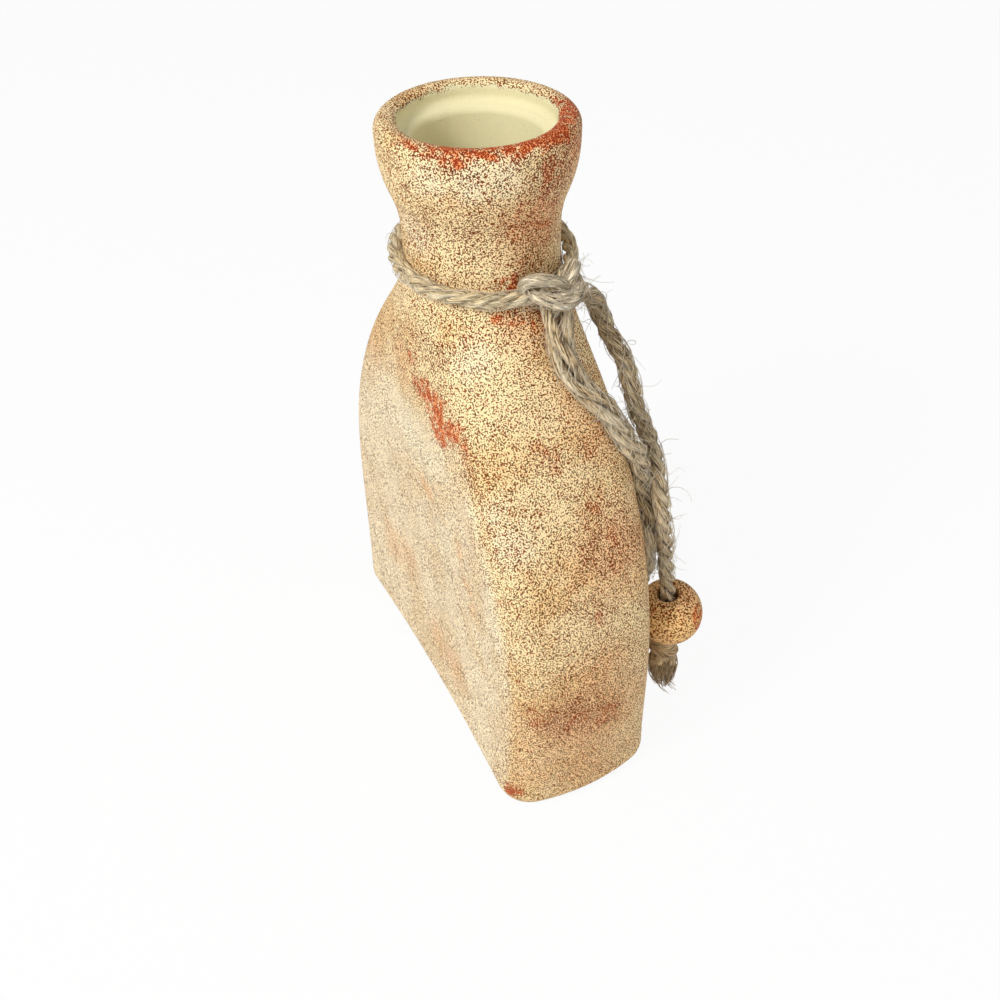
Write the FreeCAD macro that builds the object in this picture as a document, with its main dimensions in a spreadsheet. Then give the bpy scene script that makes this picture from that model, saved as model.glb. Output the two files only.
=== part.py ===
import FreeCAD, Part
import math
import os
import Sketcher

# Pillow vase: a flattened slip-cast body with a round flared neck, a length of
# jute twine tied round the neck, and a ceramic bead on the longer tail.
#
# Frame: millimetres, +Z up, origin at the centre of the footprint on the table.
# X runs along the wide side, the broad faces look along -Y and +Y, and the
# knot, the two tails and the bead hang over the -X end and the -Y face.

DOC = FreeCAD.newDocument("pillow_vase")
SHEET = DOC.addObject("Spreadsheet::Sheet", "Sizes")
SHEET.Label = "sizes"

# Driving dimensions, in millimetres.
SIZES = {
    # sections of the body, from the table up: how far each lies above the one
    # below, half its width, half its depth at mid width, and the radii of
    # corner, narrow side and face
    "belly_rise": 32.0,
    "waist_rise": 40.0,
    "shoulder_rise": 40.0,
    "slope_rise": 24.0,
    "collar_rise": 13.0,
    "neck_rise": 13.0,
    "base_half_width": 65.0,
    "belly_half_width": 66.1,
    "waist_half_width": 64.0,
    "shoulder_half_width": 49.6,
    "slope_half_width": 36.3,
    "base_half_depth": 24.0,
    "belly_half_depth": 22.9,
    "waist_half_depth": 22.9,
    "shoulder_half_depth": 24.4,
    "slope_half_depth": 23.8,
    "base_corner_radius": 11.0,
    "belly_corner_radius": 11.0,
    "waist_corner_radius": 12.0,
    "shoulder_corner_radius": 13.8,
    "slope_corner_radius": 17.4,
    "base_side_radius": 70.0,
    "belly_side_radius": 66.0,
    "waist_side_radius": 62.0,
    "shoulder_side_radius": 50.0,
    "slope_side_radius": 31.0,
    "base_face_radius": 930.0,
    "belly_face_radius": 975.0,
    "waist_face_radius": 870.0,
    "shoulder_face_radius": 2400.0,
    "slope_face_radius": 104.0,
    # the collar under the neck: what its sizes differ from the neck's radius
    "collar_width_over": 5.7,
    "collar_depth_over": 1.3,
    "collar_corner_under": 1.3,
    "collar_side_over": 1.6,
    "collar_face_over": 15.9,
    # walls, floor and foot
    "wall": 4.3,
    "floor_thickness": 5.0,
    "base_edge_radius": 4.7,
    "foot_inset": 9.6,
    "foot_recess_depth": 1.2,
    "foot_recess_corner_radius": 3.0,
    # neck, flared lip and rim
    "neck_radius": 21.1,
    "neck_length": 8.0,
    "flare_rise": 24.5,
    "flare_radius": 28.0,
    "lip_band": 5.5,
    "rim_outer_round": 3.4,
    "rim_flat": 0.4,
    "rim_inner_round": 2.2,
    "ledge_width": 3.2,
    "ledge_depth": 3.4,
    "ledge_drop": 4.2,
    # twine, its loop round the foot of the neck, and the knot on the loop
    "twine_radius": 2.4,
    "loop_slack": 0.6,
    "loop_shift": 0.4,
    "loop_drop": 2.2,
    "knot_offset": 3.4,
    "knot_drop": 3.8,
    "knot_half_length": 8.6,
    "knot_half_thickness": 4.7,
    "knot_half_height": 6.2,
    # bead and the stopper knot under it
    "bead_radius": 10.2,
    "bead_half_height": 8.2,
    "bead_hole_clearance": 0.9,
    "bead_hole_round": 0.9,
    "bead_shoulder_round": 1.6,
    "bead_seat_gap": 0.3,
    "stopper_radius": 5.0,
    "stopper_half_length": 4.4,
    "stopper_swing": 3.0,
    "brush_radius": 4.8,
    "brush_length": 14.2,
}

# Directions, in degrees: where round the neck the loop is lowest, where it
# stands off the neck most, where the knot sits, and half the loop's opening.
ANGLES = {
    "loop_low_angle": 190.0,
    "loop_shift_angle": 200.0,
    "knot_angle": 200.0,
    "loop_open_angle": 9.0,
    "neck_side_angle": 30.0,
    "neck_corner_angle": 60.0,
}

# Routes of the two tails, from the knot to their ends. The long tail's last
# stretch is pulled straight by the bead and its stopper knot.
LONG_TAIL = [
    (-22.3, -13.6, 155.0),
    (-15.0, -24.7, 151.6),
    (-20.7, -26.8, 140.2),
    (-28.1, -30.2, 130.6),
    (-33.2, -29.6, 120.4),
    (-37.6, -32.8, 111.2),
    (-48.0, -31.2, 94.6),
    (-50.4, -36.7, 41.8),
]
SHORT_TAIL = [
    (-25.1, -9.0, 156.6),
    (-28.7, -7.3, 151.9),
    (-32.2, -6.1, 146.5),
    (-37.4, -7.9, 138.0),
    (-41.0, -14.3, 131.6),
    (-43.4, -19.1, 122.0),
    (-43.2, -26.0, 110.6),
    (-40.4, -27.7, 100.3),
    (-42.0, -29.6, 92.7),
    (-44.8, -28.8, 84.5),
    (-46.9, -27.9, 75.8),
    (-47.0, -26.9, 67.1),
]
BEND_SHARE = 0.45


def fill_sheet():
    rows = list(SIZES.items()) + list(ANGLES.items())
    for row, (name, value) in enumerate(rows, start=1):
        SHEET.set("A%d" % row, name)
        SHEET.set("B%d" % row, str(value))
        SHEET.setAlias("B%d" % row, name)
    DOC.recompute()


def size(name):
    return float(getattr(SHEET, name))


# A rule is a sum or difference of named sizes, such as
# "sizes.neck_radius - sizes.wall". A sketch draws with its value and then
# keeps the rule itself.
def value_of(rule):
    total = 0.0
    sign = 1.0
    for word in rule.split():
        if word in ("+", "-"):
            sign = 1.0 if word == "+" else -1.0
        else:
            total += sign * size(word.replace("sizes.", ""))
    return total


def less(first, second):
    flipped = second.replace(" - ", " ~ ").replace(" + ", " - ").replace(" ~ ", " + ")
    return first + " - " + flipped


def origin_plane(body, role):
    for feature in body.Origin.OriginFeatures:
        if feature.Role == role:
            return feature
    raise RuntimeError("no plane " + role)


def new_body(name):
    body = DOC.addObject("PartDesign::Body", name)
    body.Label = name
    return body


def sketch_on(body, name, role, height_rule=None):
    sketch = body.newObject("Sketcher::SketchObject", name)
    sketch.AttachmentSupport = (origin_plane(body, role), [""])
    sketch.MapMode = "FlatFace"
    if height_rule:
        sketch.setExpression("AttachmentOffset.Base.z", height_rule)
    return sketch


# Codes of a sketch: the ends and the centre of a piece, its two axes, and its
# origin.
START, END, CENTRE = range(1, 4)
X_AXIS, Y_AXIS = -START, -END
ORIGIN = (X_AXIS, START)


def tie(sketch, kind, *where):
    sketch.addConstraint(Sketcher.Constraint(kind, *where))


def dimension(sketch, name, kind, where, rule):
    index = sketch.addConstraint(Sketcher.Constraint(kind, *where, value_of(rule)))
    sketch.renameConstraint(index, name)
    sketch.setExpression("Constraints." + name, rule)


def draw_arc(sketch, centre, start, end):
    circle = Part.Circle(FreeCAD.Vector(*centre), FreeCAD.Vector(0, 0, 1), math.dist(centre, start))
    turns = [math.atan2(p[1] - centre[1], p[0] - centre[0]) for p in (start, end)]
    return sketch.addGeometry(Part.ArcOfCircle(circle, *turns))


def draw_line(sketch, start, end):
    return sketch.addGeometry(Part.LineSegment(FreeCAD.Vector(*start), FreeCAD.Vector(*end)))


# The point at given distances from two points, on the +X side of them.
def meeting_point(first, first_reach, second, second_reach):
    gap = math.dist(first, second)
    along = (first_reach ** 2 - second_reach ** 2 + gap ** 2) / (2 * gap)
    aside = math.sqrt(first_reach ** 2 - along ** 2)
    ux, uy = [(second[k] - first[k]) / gap for k in (0, 1)]
    spots = [
        (first[0] + along * ux + hand * aside * uy, first[1] + along * uy - hand * aside * ux)
        for hand in (1, -1)
    ]
    return max(spots)


def toward(start, target, reach):
    gap = math.dist(start, target)
    return tuple(start[k] + (target[k] - start[k]) * reach / gap for k in (0, 1))


# One pillow-shaped section of eight tangent arcs: two narrow sides, two broad
# faces, either dished or crowned, and four corners between them.
def pillow_section(body, name, height_rule, half_width, half_depth, corner, side, face, dished):
    sketch = sketch_on(body, name, "XY_Plane", height_rule)
    side_place = less(half_width, side)
    face_place = half_depth + " + " + face if dished else less(half_depth, face)
    corner_radius, side_radius, face_radius = [value_of(rule) for rule in (corner, side, face)]
    side_centre = (value_of(side_place), 0)
    face_centre = (0, value_of(face_place))
    face_reach = face_radius + corner_radius if dished else face_radius - corner_radius
    turn = meeting_point(side_centre, side_radius - corner_radius, face_centre, face_reach)
    side_end = toward(side_centre, turn, side_radius)
    face_end = toward(face_centre, turn, face_radius)

    def mirrored(point, x_hand, y_hand):
        return (point[0] * x_hand, point[1] * y_hand)

    def corner_arc(x_hand, y_hand):
        ends = [mirrored(p, x_hand, y_hand) for p in (side_end, face_end)]
        if x_hand * y_hand < 0:
            ends.reverse()
        return draw_arc(sketch, mirrored(turn, x_hand, y_hand), *ends)

    def side_arc(hand):
        ends = [mirrored(side_end, hand, -hand), mirrored(side_end, hand, hand)]
        return draw_arc(sketch, mirrored(side_centre, hand, 1), *ends)

    def face_arc(hand):
        ends = [mirrored(face_end, hand, hand), mirrored(face_end, -hand, hand)]
        if dished:
            ends.reverse()
        return draw_arc(sketch, mirrored(face_centre, 1, hand), *ends)

    right, back, left, front = side_arc(1), face_arc(1), side_arc(-1), face_arc(-1)
    corners = [corner_arc(1, 1), corner_arc(-1, 1), corner_arc(-1, -1), corner_arc(1, -1)]
    first, last = (END, START) if dished else (START, END)
    tie(sketch, "Tangent", right, END, corners[0], START)
    tie(sketch, "Tangent", corners[0], END, back, first)
    tie(sketch, "Tangent", back, last, corners[1], START)
    tie(sketch, "Tangent", corners[1], END, left, START)
    tie(sketch, "Tangent", left, END, corners[2], START)
    tie(sketch, "Tangent", corners[2], END, front, first)
    tie(sketch, "Tangent", front, last, corners[3], START)
    tie(sketch, "Tangent", corners[3], END, right, START)
    for other in corners[1:]:
        tie(sketch, "Equal", corners[0], other)
    for pair, axis in (((right, left), X_AXIS), ((back, front), Y_AXIS)):
        tie(sketch, "Equal", *pair)
        for each in pair:
            tie(sketch, "PointOnObject", each, CENTRE, axis)
    dimension(sketch, "corner", "Radius", (corners[0],), corner)
    dimension(sketch, "side", "Radius", (right,), side)
    dimension(sketch, "face", "Radius", (back,), face)
    dimension(sketch, "right_side", "DistanceX", ORIGIN + (right, CENTRE), side_place)
    dimension(sketch, "left_side", "DistanceX", (left, CENTRE) + ORIGIN, side_place)
    dimension(sketch, "back_face", "DistanceY", ORIGIN + (back, CENTRE), face_place)
    dimension(sketch, "front_face", "DistanceY", (front, CENTRE) + ORIGIN, face_place)
    return sketch


# A round section cut into the same eight arcs as a pillow section.
def round_section(body, name, height_rule, radius):
    sketch = sketch_on(body, name, "XY_Plane", height_rule)
    reach = value_of(radius)
    side_turn, corner_turn = size("neck_side_angle"), size("neck_corner_angle")
    quarter = [side_turn, corner_turn]
    stops = quarter + [180 - turn for turn in reversed(quarter)]
    stops += [180 + turn for turn in quarter] + [360 - turn for turn in reversed(quarter)]
    spots = [(reach * math.cos(math.radians(t)), reach * math.sin(math.radians(t))) for t in stops]
    arcs = [draw_arc(sketch, (0, 0), spots[k - 1], spots[k]) for k in range(len(spots))]
    for each in arcs:
        tie(sketch, "Coincident", each, CENTRE, *ORIGIN)
    for before, after in zip(arcs, arcs[1:]):
        tie(sketch, "Coincident", before, END, after, START)
    tie(sketch, "Horizontal", arcs[-1], END, arcs[0], START)
    tie(sketch, "Vertical", arcs[0], START, arcs[0], END)
    dimension(sketch, "radius", "Radius", (arcs[0],), radius)
    return sketch


DISHED = ("base", "belly", "waist")
CROWNED = ("shoulder", "slope", "collar")
RISES = DISHED[1:] + CROWNED + ("neck",)


# Height of a section above the table: its own rise and those below it.
def level(name):
    return " + ".join("sizes.%s_rise" % each for each in RISES[:RISES.index(name) + 1])


NECK_FOOT = level("neck")
NECK_TOP = NECK_FOOT + " + sizes.neck_length"
LIP = NECK_TOP + " + sizes.flare_rise"
RIM = LIP + " + sizes.lip_band"
LEDGE = RIM + " - sizes.ledge_depth"
LEDGE_END = LEDGE + " - sizes.ledge_drop"
THROAT_RADIUS = "sizes.neck_radius - sizes.wall"
MOUTH_RADIUS = THROAT_RADIUS + " + sizes.ledge_width"
LIP_RADIUS = MOUTH_RADIUS + " + sizes.rim_inner_round + sizes.rim_flat + sizes.rim_outer_round"


SECTION_PARTS = ("half_width", "half_depth", "corner_radius", "side_radius", "face_radius")


# Rules for a section's half width, half depth, corner, side and face.
def section_rules(name):
    if name == "collar":
        differences = ("+ sizes.collar_width_over", "+ sizes.collar_depth_over",
                       "- sizes.collar_corner_under", "+ sizes.collar_side_over",
                       "+ sizes.collar_face_over")
        return ["sizes.neck_radius " + difference for difference in differences]
    return ["sizes.%s_%s" % (name, part) for part in SECTION_PARTS]


# The stack of sections from the table, or from the floor of the hollow, up to
# the foot of the neck, drawn in by a named inset.
def body_sections(body, prefix, first_height, inset):
    sections = []
    for name in DISHED + CROWNED:
        dished = name in DISHED
        rules = section_rules(name)
        if inset:
            rules = [less(rule, inset) for rule in rules[:-1]] + [
                rules[-1] + " + " + inset if dished else less(rules[-1], inset)]
        height = first_height if name == DISHED[0] else level(name)
        sections.append(pillow_section(body, prefix + name, height, *rules, dished))
    radius = less("sizes.neck_radius", inset) if inset else "sizes.neck_radius"
    sections.append(round_section(body, prefix + "neck", NECK_FOOT, radius))
    return sections


def loft(body, kind, name, sections):
    feature = body.newObject("PartDesign::" + kind, name)
    feature.Profile = sections[0]
    feature.Sections = sections[1:]
    feature.Ruled = False
    DOC.recompute()
    return feature


# Half section of the neck and lip above the shoulder: a straight neck, a flare
# of two opposed arcs, a rounded rim, and a soft ledge where the mouth meets the
# narrower throat.
def lip_ring(body):
    sketch = sketch_on(body, "lip_profile", "XZ_Plane")
    neck, throat, mouth, lip = size("neck_radius"), *map(value_of, (THROAT_RADIUS, MOUTH_RADIUS, LIP_RADIUS))
    neck_foot, neck_top, lip_height, rim, ledge, ledge_end = map(
        value_of, (NECK_FOOT, NECK_TOP, LIP, RIM, LEDGE, LEDGE_END))
    flare, outer, inner = size("flare_radius"), size("rim_outer_round"), size("rim_inner_round")
    spread, rise = lip - neck, lip_height - neck_top
    both = (spread ** 2 + rise ** 2) / (2 * spread)
    flare_centre = (neck + flare, neck_top)
    swell_centre = (lip - (both - flare), lip_height)
    turn = toward(flare_centre, swell_centre, flare)
    step, drop = mouth - throat, ledge - ledge_end
    ease = (step ** 2 + drop ** 2) / (4 * step)
    half_way = ((mouth + throat) / 2, (ledge + ledge_end) / 2)
    foot = draw_line(sketch, (throat, neck_foot), (neck, neck_foot))
    neck_side = draw_line(sketch, (neck, neck_foot), (neck, neck_top))
    flare_arc = draw_arc(sketch, flare_centre, turn, (neck, neck_top))
    swell_arc = draw_arc(sketch, swell_centre, turn, (lip, lip_height))
    lip_side = draw_line(sketch, (lip, lip_height), (lip, rim - outer))
    outer_arc = draw_arc(sketch, (lip - outer, rim - outer), (lip, rim - outer), (lip - outer, rim))
    top = draw_line(sketch, (lip - outer, rim), (mouth + inner, rim))
    inner_arc = draw_arc(sketch, (mouth + inner, rim - inner), (mouth + inner, rim), (mouth, rim - inner))
    mouth_side = draw_line(sketch, (mouth, rim - inner), (mouth, ledge))
    upper_ease = draw_arc(sketch, (mouth - ease, ledge), half_way, (mouth, ledge))
    lower_ease = draw_arc(sketch, (throat + ease, ledge_end), half_way, (throat, ledge_end))
    throat_side = draw_line(sketch, (throat, ledge_end), (throat, neck_foot))
    tie(sketch, "Coincident", foot, END, neck_side, START)
    tie(sketch, "Tangent", neck_side, END, flare_arc, END)
    tie(sketch, "Tangent", flare_arc, START, swell_arc, START)
    tie(sketch, "Tangent", swell_arc, END, lip_side, START)
    tie(sketch, "Tangent", lip_side, END, outer_arc, START)
    tie(sketch, "Tangent", outer_arc, END, top, START)
    tie(sketch, "Tangent", top, END, inner_arc, START)
    tie(sketch, "Tangent", inner_arc, END, mouth_side, START)
    tie(sketch, "Tangent", mouth_side, END, upper_ease, END)
    tie(sketch, "Tangent", upper_ease, START, lower_ease, START)
    tie(sketch, "Tangent", lower_ease, END, throat_side, START)
    tie(sketch, "Coincident", throat_side, END, foot, START)
    tie(sketch, "Equal", upper_ease, lower_ease)
    for upright in (neck_side, lip_side, mouth_side, throat_side):
        tie(sketch, "Vertical", upright)
    for level in (foot, top):
        tie(sketch, "Horizontal", level)
    dimension(sketch, "throat", "DistanceX", ORIGIN + (foot, START), THROAT_RADIUS)
    dimension(sketch, "neck", "DistanceX", ORIGIN + (foot, END), "sizes.neck_radius")
    dimension(sketch, "neck_foot", "DistanceY", ORIGIN + (foot, END), NECK_FOOT)
    dimension(sketch, "neck_top", "DistanceY", ORIGIN + (neck_side, END), NECK_TOP)
    dimension(sketch, "flare", "Radius", (flare_arc,), "sizes.flare_radius")
    dimension(sketch, "lip", "DistanceX", ORIGIN + (lip_side, START), LIP_RADIUS)
    dimension(sketch, "lip_height", "DistanceY", ORIGIN + (lip_side, START), LIP)
    dimension(sketch, "outer_round", "Radius", (outer_arc,), "sizes.rim_outer_round")
    dimension(sketch, "rim", "DistanceY", ORIGIN + (top, START), RIM)
    dimension(sketch, "inner_round", "Radius", (inner_arc,), "sizes.rim_inner_round")
    dimension(sketch, "mouth", "DistanceX", ORIGIN + (mouth_side, END), MOUTH_RADIUS)
    dimension(sketch, "ledge", "DistanceY", ORIGIN + (mouth_side, END), LEDGE)
    dimension(sketch, "ledge_end", "DistanceY", ORIGIN + (throat_side, START), LEDGE_END)
    ring = body.newObject("PartDesign::Revolution", "lip_ring")
    ring.Profile = sketch
    ring.ReferenceAxis = (sketch, ["V_Axis"])
    ring.Angle = 360
    DOC.recompute()
    return ring


# Names of the edges that lie at one height, and are as wide as asked.
def level_edges(shape, height, reach=None):
    close = size("wall") / 1000
    names = []
    for index, edge in enumerate(shape.Edges, start=1):
        box = edge.BoundBox
        level = max(abs(box.ZMin - height), abs(box.ZMax - height)) < close
        if level and (reach is None or abs(box.XMax - reach) < close):
            names.append("Edge%d" % index)
    return names


def build_vase():
    body = new_body("vase_body")
    outer = loft(body, "AdditiveLoft", "outer_form", body_sections(body, "outer_", None, None))
    solid = outer.Shape.Volume
    hollow = loft(body, "SubtractiveLoft", "hollow",
                  body_sections(body, "inner_", "sizes.floor_thickness", "sizes.wall"))
    report_cut("hollow", solid, hollow.Shape.Volume)
    edge = body.newObject("PartDesign::Fillet", "base_edge")
    edge.Base = (hollow, level_edges(hollow.Shape, 0))
    edge.setExpression("Radius", "sizes.base_edge_radius")
    DOC.recompute()
    report_cut("base edge", hollow.Shape.Volume, edge.Shape.Volume)
    lip_ring(body)
    solid = body.Shape.Volume
    inset = "sizes.foot_inset"
    recess = pillow_section(
        body, "foot_recess_outline", None, less("sizes.base_half_width", inset),
        less("sizes.base_half_depth", inset), "sizes.foot_recess_corner_radius",
        less("sizes.base_side_radius", inset), "sizes.base_face_radius + " + inset, True)
    pocket = body.newObject("PartDesign::Pocket", "foot_recess")
    pocket.Profile = recess
    pocket.Reversed = True
    pocket.setExpression("Length", "sizes.foot_recess_depth")
    DOC.recompute()
    report_cut("foot recess", solid, body.Shape.Volume)
    return body


def report_cut(name, before, after):
    print("%s takes %.1f cubic millimetres" % (name, before - after))
    if after >= before:
        raise RuntimeError(name + " cuts nothing")


def loop_radius():
    return size("neck_radius") + size("loop_slack") + size("twine_radius")


# A direction round the neck, from a named angle.
def heading(angle_name):
    turn = math.radians(size(angle_name))
    return FreeCAD.Vector(math.cos(turn), math.sin(turn), 0)


UP = FreeCAD.Vector(0, 0, 1)


# The loop round the foot of the neck: one turn of twine, a little lower on the
# knot's side and a little off the neck all round, open where the knot closes it.
def build_loop():
    loop = DOC.addObject("Part::Torus", "neck_loop")
    loop.Label = "neck_loop"
    loop.setExpression("Radius1", "sizes.neck_radius + sizes.loop_slack + sizes.twine_radius")
    loop.setExpression("Radius2", "sizes.twine_radius")
    loop.setExpression("Angle3", "360 - 2 * sizes.loop_open_angle")
    place = heading("loop_shift_angle") * size("loop_shift") + UP * value_of(NECK_FOOT)
    drop = math.degrees(math.atan2(size("loop_drop"), loop_radius()))
    lean = FreeCAD.Rotation(UP.cross(heading("loop_low_angle")), drop)
    start = FreeCAD.Rotation(UP, size("knot_angle") + size("loop_open_angle"))
    loop.Placement = FreeCAD.Placement(place, lean.multiply(start))
    return loop


def build_neck_knot():
    knot = DOC.addObject("Part::Ellipsoid", "neck_knot")
    knot.Label = "neck_knot"
    knot.setExpression("Radius1", "sizes.knot_half_height")
    knot.setExpression("Radius2", "sizes.knot_half_thickness")
    knot.setExpression("Radius3", "sizes.knot_half_length")
    reach = loop_radius() + size("knot_offset")
    place = heading("knot_angle") * reach + UP * (value_of(NECK_FOOT) - size("knot_drop"))
    knot.Placement = FreeCAD.Placement(place, FreeCAD.Rotation(UP, size("knot_angle")))
    return knot


# Straight runs joined by arcs, each as large as its two runs allow.
def twine_path(points):
    corners = [FreeCAD.Vector(*p) for p in points]
    edges = []
    radii = []
    last = corners[0]
    for before, here, after in zip(corners, corners[1:], corners[2:]):
        back, ahead = before - here, after - here
        run = BEND_SHARE * min(back.Length, ahead.Length)
        half_turn = (math.pi - back.getAngle(ahead)) / 2
        radii.append(run / math.tan(half_turn))
        back.normalize()
        ahead.normalize()
        start, end = here + back * run, here + ahead * run
        bisector = back + ahead
        bisector.normalize()
        reach = math.hypot(run, radii[-1]) - radii[-1]
        edges.append(Part.LineSegment(last, start).toShape())
        edges.append(Part.Arc(start, here + bisector * reach, end).toShape())
        last = end
    edges.append(Part.LineSegment(last, corners[-1]).toShape())
    return Part.Wire(edges), radii


def build_tail(name, points):
    wire, radii = twine_path(points)
    radius = size("twine_radius")
    start = FreeCAD.Vector(*points[0])
    circle = Part.Wire(Part.makeCircle(radius, start, FreeCAD.Vector(*points[1]) - start))
    tube = wire.makePipeShell([circle], True, False)
    tail = DOC.addObject("Part::Feature", name)
    tail.Label = name
    tail.Shape = tube
    expected = math.pi * radius ** 2 * wire.Length
    print("%s: length %.1f, volume %.1f of %.1f, arc radii %s" % (
        name, wire.Length, tube.Volume, expected, ", ".join("%.1f" % r for r in radii)))
    return tail


# The straight stretch on which the bead is threaded: its lower end, and its
# direction upwards.
def bead_line():
    end = FreeCAD.Vector(*LONG_TAIL[-1])
    axis = FreeCAD.Vector(*LONG_TAIL[-2]) - end
    axis.normalize()
    return end, axis


# The bead: a ball turned flat at both ends, with a wide hole.
def build_bead():
    body = new_body("bead")
    sketch = sketch_on(body, "bead_profile", "XZ_Plane")
    radius, half = size("bead_radius"), size("bead_half_height")
    hole_rule = "sizes.twine_radius + sizes.bead_hole_clearance"
    hole = value_of(hole_rule)
    flat = math.sqrt(radius ** 2 - half ** 2)
    ball = draw_arc(sketch, (0, 0), (flat, -half), (flat, half))
    top = draw_line(sketch, (flat, half), (hole, half))
    bore = draw_line(sketch, (hole, half), (hole, -half))
    bottom = draw_line(sketch, (hole, -half), (flat, -half))
    tie(sketch, "Coincident", ball, CENTRE, *ORIGIN)
    for before, after in ((ball, top), (top, bore), (bore, bottom), (bottom, ball)):
        tie(sketch, "Coincident", before, END, after, START)
    for level in (top, bottom):
        tie(sketch, "Horizontal", level)
    tie(sketch, "Vertical", bore)
    dimension(sketch, "ball", "Radius", (ball,), "sizes.bead_radius")
    dimension(sketch, "hole", "DistanceX", ORIGIN + (top, END), hole_rule)
    dimension(sketch, "top", "DistanceY", ORIGIN + (top, END), "sizes.bead_half_height")
    dimension(sketch, "bottom", "DistanceY", (bottom, START) + ORIGIN, "sizes.bead_half_height")
    turned = body.newObject("PartDesign::Revolution", "bead_turned")
    turned.Profile = sketch
    turned.ReferenceAxis = (sketch, ["V_Axis"])
    turned.Angle = 360
    DOC.recompute()
    for name, reach in (("bead_hole_round", hole), ("bead_shoulder_round", flat)):
        before = body.Tip
        edges = [edge for height in (-half, half) for edge in level_edges(before.Shape, height, reach)]
        rounded = body.newObject("PartDesign::Fillet", name)
        rounded.Base = (before, edges)
        rounded.setExpression("Radius", "sizes." + name)
        DOC.recompute()
    end, axis = bead_line()
    centre = end + axis * (half + size("bead_seat_gap"))
    body.Placement = FreeCAD.Placement(centre, FreeCAD.Rotation(UP, axis))
    return body


# The stopper knot under the bead: a round knot that hangs a little to one side
# of the hole, and below it the twine's end opened out like a brush.
def build_end_knot():
    body = new_body("end_knot")
    sketch = sketch_on(body, "end_knot_profile", "XZ_Plane")
    knot, half = size("stopper_radius"), size("stopper_half_length")
    brush, brush_end = size("brush_radius"), -2 * half - size("brush_length")
    waist = math.sqrt(knot ** 2 - half ** 2)
    ball = draw_arc(sketch, (0, -half), (waist, -2 * half), (waist, 0))
    top = draw_line(sketch, (waist, 0), (0, 0))
    axis = draw_line(sketch, (0, 0), (0, brush_end))
    bottom = draw_line(sketch, (0, brush_end), (brush, brush_end))
    flare = draw_line(sketch, (brush, brush_end), (waist, -2 * half))
    for before, after in ((ball, top), (top, axis), (axis, bottom), (bottom, flare), (flare, ball)):
        tie(sketch, "Coincident", before, END, after, START)
    for level in (top, bottom):
        tie(sketch, "Horizontal", level)
    tie(sketch, "Vertical", axis)
    tie(sketch, "Coincident", top, END, *ORIGIN)
    tie(sketch, "PointOnObject", ball, CENTRE, Y_AXIS)
    dimension(sketch, "knot", "Radius", (ball,), "sizes.stopper_radius")
    dimension(sketch, "upper_half", "DistanceY", (ball, CENTRE) + ORIGIN, "sizes.stopper_half_length")
    dimension(sketch, "lower_half", "DistanceY", (ball, START, ball, CENTRE), "sizes.stopper_half_length")
    dimension(sketch, "brush", "DistanceX", ORIGIN + (bottom, END), "sizes.brush_radius")
    dimension(sketch, "brush_drop", "DistanceY", (flare, START, flare, END), "sizes.brush_length")
    turned = body.newObject("PartDesign::Revolution", "end_knot_turned")
    turned.Profile = sketch
    turned.ReferenceAxis = (sketch, ["V_Axis"])
    turned.Angle = 360
    DOC.recompute()
    end, axis = bead_line()
    aside = axis.cross(FreeCAD.Vector(1, 0, 0))
    aside.normalize()
    place = end + aside * size("stopper_swing")
    body.Placement = FreeCAD.Placement(place, FreeCAD.Rotation(UP, axis))
    return body


def main():
    fill_sheet()
    pieces = [build_vase(), build_loop(), build_neck_knot()]
    pieces += [build_tail("tail_long", LONG_TAIL), build_tail("tail_short", SHORT_TAIL)]
    pieces += [build_bead(), build_end_knot()]
    DOC.recompute()
    faults = [each.Name for each in DOC.Objects if {"Invalid", "Error"} & set(each.State)]
    for piece in pieces:
        if piece.Shape.isNull() or not piece.Shape.isValid():
            faults.append(piece.Label)
    if faults:
        raise RuntimeError("faulty: " + ", ".join(faults))
    os.makedirs("parts", exist_ok=True)
    for piece in pieces:
        box = piece.Shape.BoundBox
        print("%s: volume %.1f, x %.1f to %.1f, y %.1f to %.1f, z %.1f to %.1f, solids %d" % (
            piece.Label, piece.Shape.Volume, box.XMin, box.XMax, box.YMin, box.YMax,
            box.ZMin, box.ZMax, len(piece.Shape.Solids)))
        piece.Shape.exportStep("parts/" + piece.Label + ".step")


main()
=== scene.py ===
import math
import random

import bmesh
import bpy
from mathutils import Matrix, Quaternion, Vector
from mathutils.bvhtree import BVHTree


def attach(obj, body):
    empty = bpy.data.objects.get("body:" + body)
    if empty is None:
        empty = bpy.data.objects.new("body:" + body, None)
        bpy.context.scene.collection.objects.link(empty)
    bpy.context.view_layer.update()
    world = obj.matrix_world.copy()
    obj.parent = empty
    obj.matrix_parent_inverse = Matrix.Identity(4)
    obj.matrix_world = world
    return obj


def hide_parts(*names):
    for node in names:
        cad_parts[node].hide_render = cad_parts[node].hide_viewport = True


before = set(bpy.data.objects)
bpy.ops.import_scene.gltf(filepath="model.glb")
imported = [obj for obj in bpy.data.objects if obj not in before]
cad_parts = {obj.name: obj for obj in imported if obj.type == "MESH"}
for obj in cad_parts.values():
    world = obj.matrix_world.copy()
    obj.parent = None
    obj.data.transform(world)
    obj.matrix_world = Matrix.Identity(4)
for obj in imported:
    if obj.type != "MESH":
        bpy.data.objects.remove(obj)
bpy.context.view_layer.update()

# Pillow vase: speckled glaze, jute twine round the neck, and a glazed bead.
# Metres, +Z up, origin under the middle of the foot.
MM = 0.001
UP = Vector((0, 0, 1))

# Twine: thickness, its plies, and how far one full turn of a ply runs.
PLIES = 3
PLY_OFFSET = 1.28 * MM
PLY_RADIUS = 1.15 * MM
PLY_PITCH = 15.0 * MM
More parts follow.
